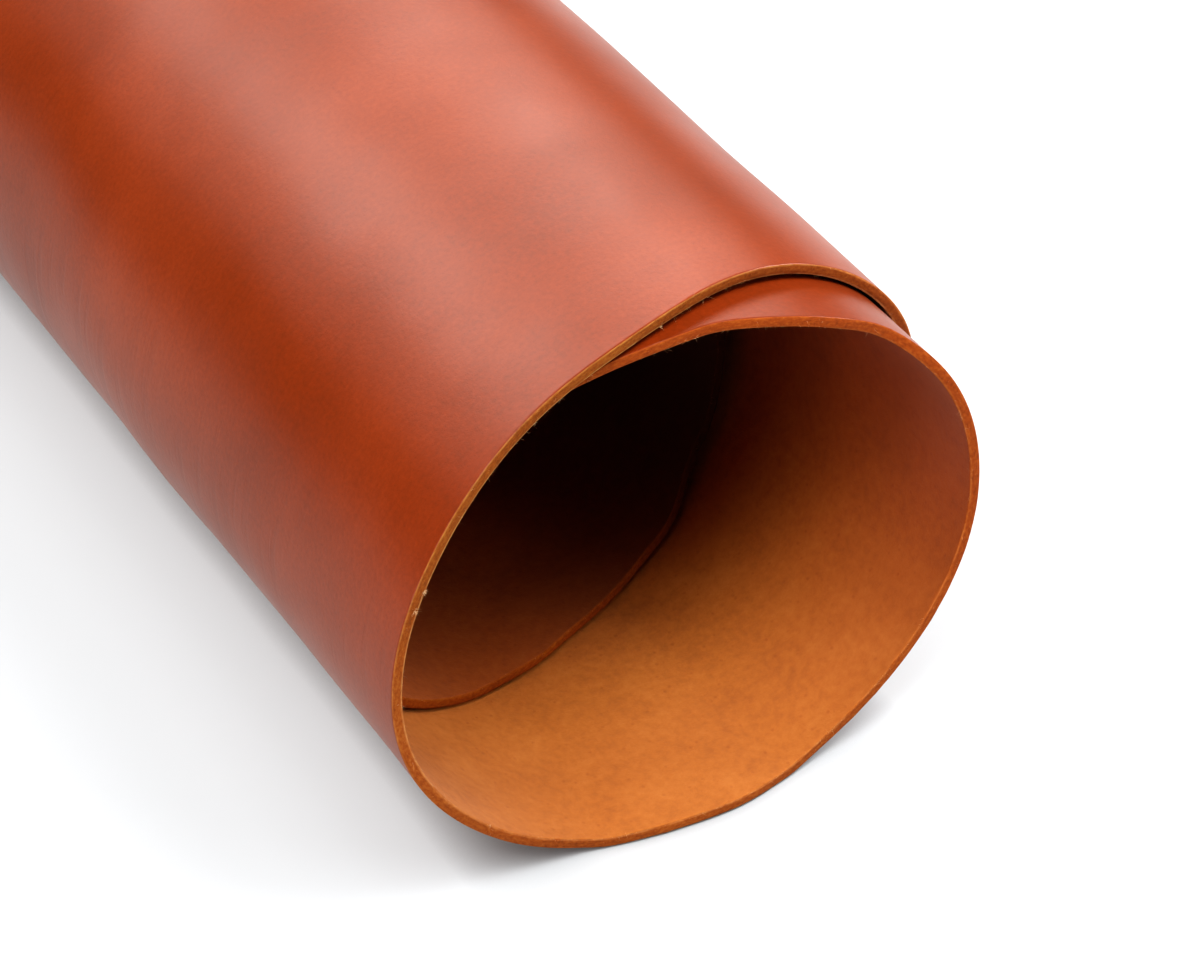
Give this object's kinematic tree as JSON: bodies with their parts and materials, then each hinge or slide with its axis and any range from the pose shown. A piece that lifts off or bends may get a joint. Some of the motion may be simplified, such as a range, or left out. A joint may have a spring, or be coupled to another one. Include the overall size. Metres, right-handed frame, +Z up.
{
  "type": "rolled leather side",
  "caption": "A side of thick waxed leather rolled up with its grain outside, lying on a level surface; stock for cutting belts, straps, bags and other leather goods.",
  "frame": {"origin": "on the surface that the roll lies on, under the middle of the roll's box", "axes": "+Y along the roll's axis from the open mouth, whose cut edge is bowed, to the straight back edge; +Z up; +X to the right seen from the mouth, the side on which the outer end lies"},
  "size_m": [0.2207, 1.05, 0.1842],
  "materials": {
    "leather": "Chestnut full-grain leather: a smooth, waxed and faintly glossy grain side outside, a matt tan suede-like flesh side inside, and a fibrous orange-brown cut edge"
  },
  "bodies": {
    "root": {"leather_side": "leather"}
  },
  "joints": []
}
